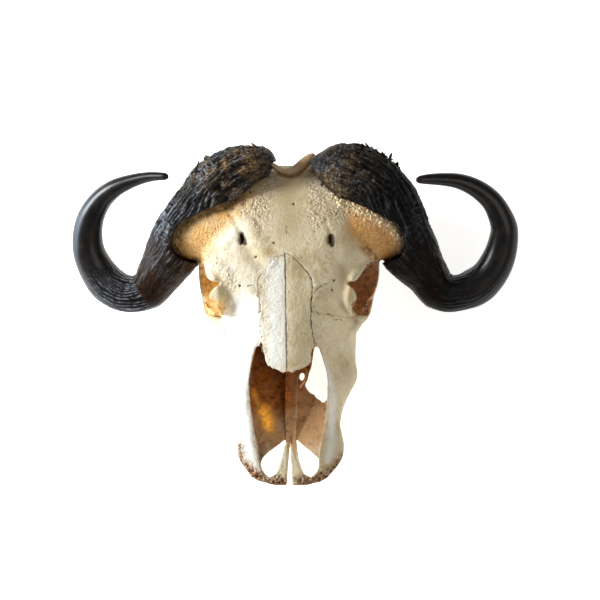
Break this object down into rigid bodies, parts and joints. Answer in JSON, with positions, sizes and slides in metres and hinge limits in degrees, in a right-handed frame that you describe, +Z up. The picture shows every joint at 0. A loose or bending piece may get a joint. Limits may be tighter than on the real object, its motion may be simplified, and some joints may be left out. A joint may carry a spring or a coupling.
{
  "type": "buffalo skull",
  "caption": "Skull of an African buffalo without its lower jaw, lying on its teeth, with curved dark horn sheaths over rough bosses.",
  "frame": {"origin": "middle of the footprint of the whole skull, on the surface that it rests on", "axes": "+X across the horns to the animal's left, -Y to the tip of the muzzle, +Z up"},
  "size_m": [0.6326, 0.4622, 0.2309],
  "materials": {
    "bone": "matt, weathered bone",
    "horn": "dark horn, satin on the hooks and rough on the bosses"
  },
  "bodies": {
    "root": {"cranium": "bone", "nasal_left": "bone", "nasal_right": "bone", "maxilla_left": "bone", "maxilla_right": "bone", "premaxilla_left": "bone", "premaxilla_right": "bone", "vomer": "bone", "horn_left": "horn", "horn_right": "horn"}
  },
  "joints": []
}
